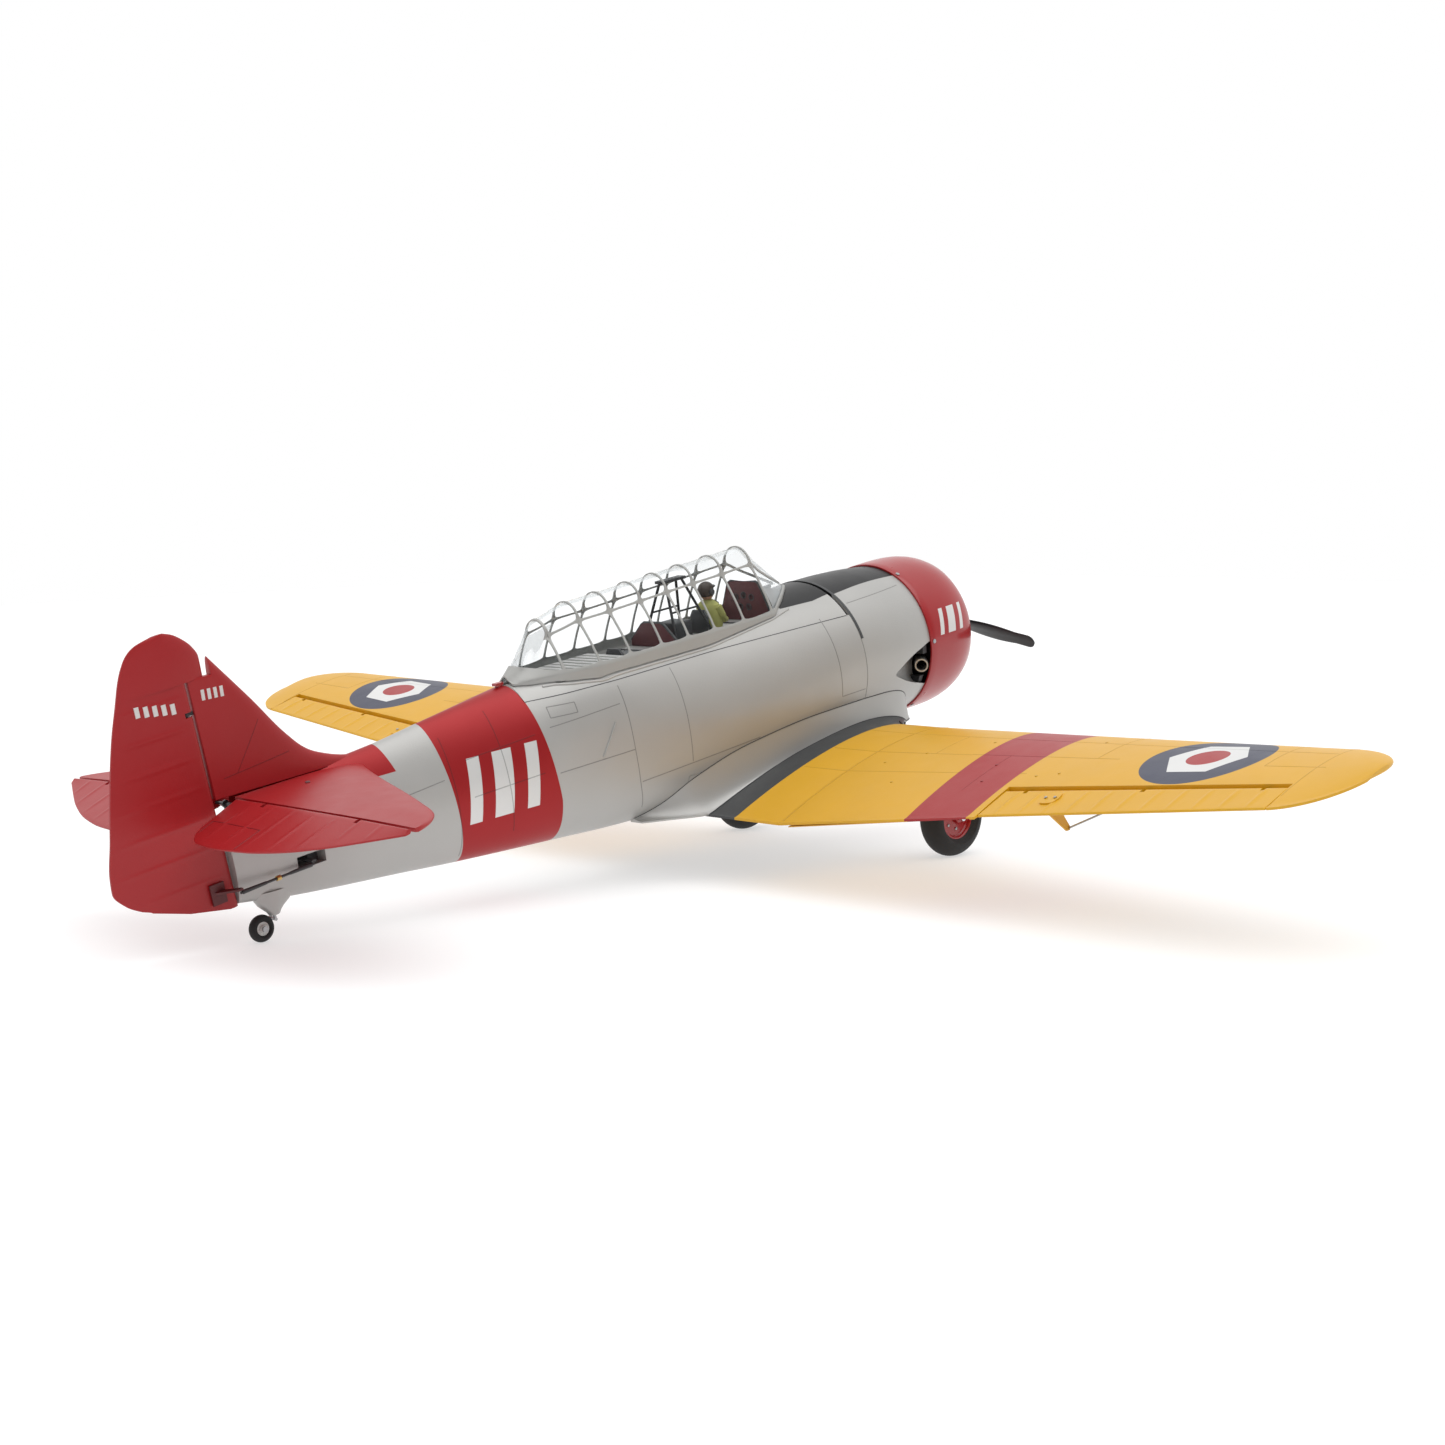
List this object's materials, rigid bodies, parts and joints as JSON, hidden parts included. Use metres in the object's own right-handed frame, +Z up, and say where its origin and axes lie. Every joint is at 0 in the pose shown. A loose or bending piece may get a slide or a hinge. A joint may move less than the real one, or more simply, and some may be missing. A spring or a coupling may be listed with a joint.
{
  "type": "radio-controlled aeroplane",
  "caption": "Low-wing foam model aeroplane on a tail wheel, with a radial cowl, framed canopy over two seats, hinged control surfaces and retracting main wheels.",
  "frame": {"origin": "middle of the footprint's box on the ground, with the aeroplane standing on its three wheels", "axes": "+X towards the nose, +Y to the aeroplane's left along the span, +Z up from the ground"},
  "size_m": [1.0646, 1.486, 0.3214],
  "materials": {
    "silver_foam": "satin paint",
    "red_foam": "satin paint",
    "yellow_foam": "satin paint",
    "red_plastic": "gloss",
    "black_plastic": "satin",
    "grey_plastic": "matt",
    "white_plastic": "satin",
    "steel": "plain",
    "aluminium": "satin",
    "carbon": "satin",
    "tyre": "matt",
    "clear": "clear",
    "maroon_trim": "matt",
    "battery_wrap": "gloss",
    "figure_paint": "matt",
    "plywood": "plain"
  },
  "bodies": {
    "airframe": {"fuselage": "silver_foam", "nose_cowl": "silver_foam", "cowl_ring": "red_plastic", "screws": "steel", "dummy_engine": "grey_plastic", "motor_mount": "plywood", "motor_stator": "steel", "exhaust_pipe": "grey_plastic", "battery": "battery_wrap", "speed_controller": "grey_plastic", "receiver": "grey_plastic", "wing_center": "yellow_foam", "left_wing": "yellow_foam", "right_wing": "yellow_foam", "spar_tubes": "carbon", "fin": "red_foam", "left_stabilizer": "red_foam", "right_stabilizer": "red_foam", "servos": "grey_plastic", "hinges": "steel", "retract_units": "grey_plastic", "tail_wheel_bearing": "white_plastic"},
    "propeller": {"motor_bell": "black_plastic", "propeller": "black_plastic", "prop_nut": "aluminium"},
    "left_leg": {"left_gear_leg": "steel"},
    "left_wheel": {"left_tyre": "tyre", "left_wheel_hub": "red_plastic"},
    "right_leg": {"right_gear_leg": "steel"},
    "right_wheel": {"right_tyre": "tyre", "right_wheel_hub": "red_plastic"},
    "tail_leg": {"tail_wheel_leg": "steel"},
    "tail_wheel": {"tail_tyre": "tyre", "tail_wheel_hub": "white_plastic"},
    "left_aileron": {"left_aileron": "yellow_foam", "left_aileron_horn": "black_plastic"},
    "left_aileron_arm": {"left_aileron_arm": "white_plastic"},
    "left_aileron_rod": {"left_aileron_pushrod": "steel"},
    "right_aileron": {"right_aileron": "yellow_foam", "right_aileron_horn": "black_plastic"},
    "right_aileron_arm": {"right_aileron_arm": "white_plastic"},
    "right_aileron_rod": {"right_aileron_pushrod": "steel"},
    "left_flap": {"left_flap": "yellow_foam"},
    "right_flap": {"right_flap": "yellow_foam"},
    "elevator": {"left_elevator": "red_foam", "right_elevator": "red_foam", "elevator_joiner": "steel"},
    "elevator_arm": {"elevator_arm": "white_plastic"},
    "elevator_rod": {"elevator_pushrod": "steel"},
    "rudder": {"rudder": "red_foam", "rudder_horn": "black_plastic"},
    "rudder_arm": {"rudder_arm": "black_plastic"},
    "rudder_rod": {"rudder_pushrod": "black_plastic"},
    "hatch": {"hatch": "silver_foam", "canopy_frame": "silver_foam", "canopy_glass": "clear", "cockpit_fittings": "maroon_trim", "rollover_frame": "black_plastic", "pilot": "figure_paint"},
    "hatch_latch": {"hatch_latch": "red_plastic"}
  },
  "joints": [
    {"name": "propeller_spin", "type": "hinge", "parent": "airframe", "child": "propeller", "pos_m": [0.52025, 0, 0.23375], "axis": [0.9883, 0, 0.1528], "continuous": true},
    {"name": "left_gear", "type": "hinge", "parent": "airframe", "child": "left_leg", "pos_m": [0.3095, 0.131, 0.12427], "axis": [-0.9883, 0, -0.1528], "range_deg": [0, 86]},
    {"name": "right_gear", "type": "hinge", "parent": "airframe", "child": "right_leg", "pos_m": [0.3095, -0.131, 0.12427], "axis": [0.9883, 0, 0.1528], "range_deg": [0, 86]},
    {"name": "left_wheel_spin", "type": "hinge", "parent": "left_leg", "child": "left_wheel", "pos_m": [0.34362, 0.151, 0.041], "axis": [0, 1, 0], "continuous": true},
    {"name": "right_wheel_spin", "type": "hinge", "parent": "right_leg", "child": "right_wheel", "pos_m": [0.34362, -0.151, 0.041], "axis": [0, 1, 0], "continuous": true},
    {"name": "tail_steer", "type": "hinge", "parent": "airframe", "child": "tail_leg", "pos_m": [-0.3788, 0, 0.03406], "axis": [-0.1528, 0, 0.9883], "range_deg": [-25, 25]},
    {"name": "tail_wheel_spin", "type": "hinge", "parent": "tail_leg", "child": "tail_wheel", "pos_m": [-0.39057, 0, 0.012], "axis": [0, 1, 0], "continuous": true},
    {"name": "left_aileron_hinge", "type": "hinge", "parent": "airframe", "child": "left_aileron", "pos_m": [0.12122, 0.402, 0.10376], "axis": [-0.0156, 0.9948, 0.1007], "range_deg": [-20, 20]},
    {"name": "left_aileron_servo", "type": "hinge", "parent": "airframe", "child": "left_aileron_arm", "pos_m": [0.18153, 0.46368, 0.11948], "axis": [-0.0156, 0.9948, 0.1007], "range_deg": [-20, 20]},
    {"name": "left_aileron_link", "type": "hinge", "parent": "left_aileron_arm", "child": "left_aileron_rod", "pos_m": [0.18563, 0.46643, 0.09293], "axis": [-0.0156, 0.9948, 0.1007], "range_deg": [-20, 20]},
    {"name": "right_aileron_hinge", "type": "hinge", "parent": "airframe", "child": "right_aileron", "pos_m": [0.12122, -0.402, 0.10376], "axis": [0.0156, 0.9948, -0.1007], "range_deg": [-20, 20]},
    {"name": "right_aileron_servo", "type": "hinge", "parent": "airframe", "child": "right_aileron_arm", "pos_m": [0.18153, -0.46368, 0.11948], "axis": [0.0156, 0.9948, -0.1007], "range_deg": [-20, 20]},
    {"name": "right_aileron_link", "type": "hinge", "parent": "right_aileron_arm", "child": "right_aileron_rod", "pos_m": [0.18563, -0.46643, 0.09293], "axis": [0.0156, 0.9948, -0.1007], "range_deg": [-20, 20]},
    {"name": "left_flap_hinge", "type": "hinge", "parent": "airframe", "child": "left_flap", "pos_m": [0.13105, 0.179, 0.07422], "axis": [0.0176, -0.9933, -0.114], "range_deg": [0, 45]},
    {"name": "right_flap_hinge", "type": "hinge", "parent": "airframe", "child": "right_flap", "pos_m": [0.13105, -0.179, 0.07422], "axis": [-0.0176, -0.9933, 0.114], "range_deg": [0, 45]},
    {"name": "elevator_hinge", "type": "hinge", "parent": "airframe", "child": "elevator", "pos_m": [-0.42033, 0, 0.12275], "axis": [0, 1, 0], "range_deg": [-8, 34]},
    {"name": "elevator_servo", "type": "hinge", "parent": "airframe", "child": "elevator_arm", "pos_m": [-0.32892, 0, 0.13688], "axis": [0, 1, 0], "range_deg": [-8, 34]},
    {"name": "elevator_link", "type": "hinge", "parent": "elevator_arm", "child": "elevator_rod", "pos_m": [-0.32372, 0, 0.12388], "axis": [0, 1, 0], "range_deg": [-34, 8]},
    {"name": "rudder_hinge", "type": "hinge", "parent": "airframe", "child": "rudder", "pos_m": [-0.4194, 0, 0.03486], "axis": [-0.2135, 0, 0.9769], "range_deg": [-25, 25]},
    {"name": "rudder_servo", "type": "hinge", "parent": "airframe", "child": "rudder_arm", "pos_m": [-0.35073, -0.002, 0.06727], "axis": [-0.2135, 0, 0.9769], "range_deg": [-25, 25]},
    {"name": "rudder_link", "type": "hinge", "parent": "rudder_arm", "child": "rudder_rod", "pos_m": [-0.35073, -0.022, 0.06727], "axis": [-0.2135, 0, 0.9769], "range_deg": [-25, 25]},
    {"name": "hatch_lift", "type": "slide", "parent": "airframe", "child": "hatch", "axis": [-0.1528, 0, 0.9883], "range_m": [0, 0.06]},
    {"name": "latch_slide", "type": "slide", "parent": "airframe", "child": "hatch_latch", "axis": [-0.9883, 0, -0.1528], "range_m": [0, 0.003]}
  ],
  "couplings": [
    {"joint": "right_gear", "follows": "left_gear", "ratio": 1},
    {"joint": "tail_steer", "follows": "rudder_hinge", "ratio": 1},
    {"joint": "rudder_servo", "follows": "rudder_hinge", "ratio": 1},
    {"joint": "rudder_link", "follows": "rudder_hinge", "ratio": -1},
    {"joint": "left_aileron_servo", "follows": "left_aileron_hinge", "ratio": 1},
    {"joint": "left_aileron_link", "follows": "left_aileron_hinge", "ratio": -1},
    {"joint": "right_aileron_hinge", "follows": "left_aileron_hinge", "ratio": -1},
    {"joint": "right_aileron_servo", "follows": "left_aileron_hinge", "ratio": -1},
    {"joint": "right_aileron_link", "follows": "left_aileron_hinge", "ratio": 1},
    {"joint": "right_flap_hinge", "follows": "left_flap_hinge", "ratio": 1},
    {"joint": "elevator_servo", "follows": "elevator_hinge", "ratio": 1},
    {"joint": "elevator_link", "follows": "elevator_hinge", "ratio": -1}
  ]
}
